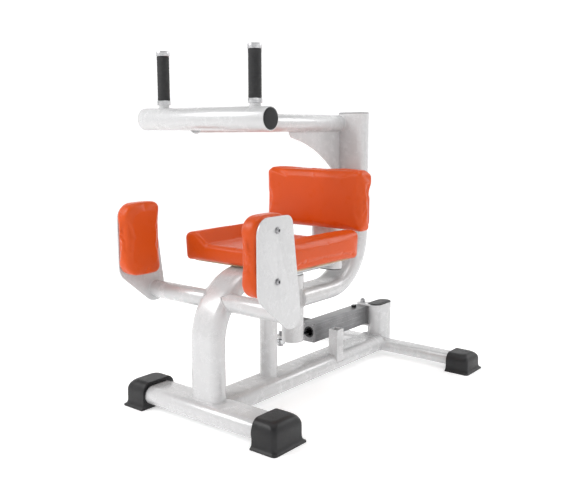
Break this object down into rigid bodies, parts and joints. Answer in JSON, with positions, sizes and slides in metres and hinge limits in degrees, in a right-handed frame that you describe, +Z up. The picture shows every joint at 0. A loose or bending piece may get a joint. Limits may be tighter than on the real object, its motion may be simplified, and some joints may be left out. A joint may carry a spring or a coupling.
{
  "type": "seated rotary torso exercise machine",
  "caption": "Seated rotary torso machine: flat-oval steel frame, padded seat, back and thigh pads, and an overhead swing arm with upright grips on a hydraulic damper.",
  "frame": {"origin": "on the floor, at the middle of the machine's footprint box", "axes": "+Z up; -Y is the front, which the sitter faces; +X is the sitter's left"},
  "size_m": [0.868, 1.144, 1.121],
  "materials": {
    "silver_powder_coat": "satin silver-white powder coat over welded steel",
    "orange_vinyl": "semi-matte orange upholstery vinyl over foam",
    "rubber_feet": "matte dark grey moulded rubber",
    "grip_rubber": "matte black rubber sleeve",
    "black_plastic": "fine-textured black moulded plastic",
    "plywood": "bare birch plywood",
    "zinc_fasteners": "zinc-plated steel",
    "bright_steel": "ground bright steel",
    "brushed_aluminium": "turned aluminium",
    "damper_grey": "grey metallic enamel"
  },
  "bodies": {
    "frame": {"front_cross_tube": "silver_powder_coat", "spine_tube": "silver_powder_coat", "rear_cross_tube": "silver_powder_coat", "foot_front_left": "rubber_feet", "foot_front_right": "rubber_feet", "foot_rear_left": "rubber_feet", "foot_rear_right": "rubber_feet", "front_column_tube": "silver_powder_coat", "support_column": "silver_powder_coat", "rear_stub_tube": "silver_powder_coat", "rear_stub_cap": "black_plastic", "accessory_socket": "silver_powder_coat", "thigh_tube_left": "silver_powder_coat", "thigh_tube_right": "silver_powder_coat", "thigh_plate_left": "silver_powder_coat", "thigh_plate_right": "silver_powder_coat", "thigh_cushion_left": "orange_vinyl", "thigh_cushion_right": "orange_vinyl", "thigh_bolt_upper_left": "zinc_fasteners", "thigh_bolt_lower_left": "zinc_fasteners", "thigh_bolt_upper_right": "zinc_fasteners", "thigh_bolt_lower_right": "zinc_fasteners", "seat_board": "plywood", "seat_cushion": "orange_vinyl", "back_upright": "silver_powder_coat", "upright_cap": "black_plastic", "back_board": "plywood", "back_cushion": "orange_vinyl", "back_bolt_lower": "zinc_fasteners", "back_bolt_upper": "zinc_fasteners", "pivot_shaft": "bright_steel", "shaft_nut": "zinc_fasteners", "damper_housing": "damper_grey", "damper_gland": "damper_grey", "damper_rear_eye": "damper_grey", "damper_bracket": "silver_powder_coat", "bracket_bolt": "zinc_fasteners"},
    "swing_arm": {"pivot_sleeve": "silver_powder_coat", "pivot_bearing_lower": "bright_steel", "pivot_bearing_upper": "bright_steel", "crank_arm": "silver_powder_coat", "crank_pin": "zinc_fasteners", "swing_post": "silver_powder_coat", "post_cap": "black_plastic", "arm_tube": "silver_powder_coat", "arm_gusset": "silver_powder_coat", "handle_bar": "silver_powder_coat", "bar_cap_left": "black_plastic", "bar_cap_right": "black_plastic", "handle_stem_left": "silver_powder_coat", "handle_stem_right": "silver_powder_coat", "handle_grip_left": "grip_rubber", "handle_grip_right": "grip_rubber", "grip_collar_left": "brushed_aluminium", "grip_collar_right": "brushed_aluminium", "grip_end_cap_left": "brushed_aluminium", "grip_end_cap_right": "brushed_aluminium"},
    "damper_rod": {"damper_rod": "bright_steel", "damper_piston": "black_plastic"},
    "resistance_dial": {"resistance_dial": "black_plastic"}
  },
  "joints": [
    {"name": "swing", "type": "hinge", "parent": "frame", "child": "swing_arm", "pos_m": [0, -0.052, 0.28], "axis": [0, 0, 1], "range_deg": [-40, 40]},
    {"name": "rod_pivot", "type": "hinge", "parent": "swing_arm", "child": "damper_rod", "pos_m": [-0.055, -0.052, 0.153], "axis": [0, 0, 1], "range_deg": [-40, 40]},
    {"name": "dial_turn", "type": "hinge", "parent": "frame", "child": "resistance_dial", "pos_m": [-0.049, 0.4, 0.194], "axis": [0, 0, 1], "range_deg": [0, 270]}
  ],
  "couplings": [
    {"joint": "rod_pivot", "follows": "swing", "ratio": -1}
  ]
}
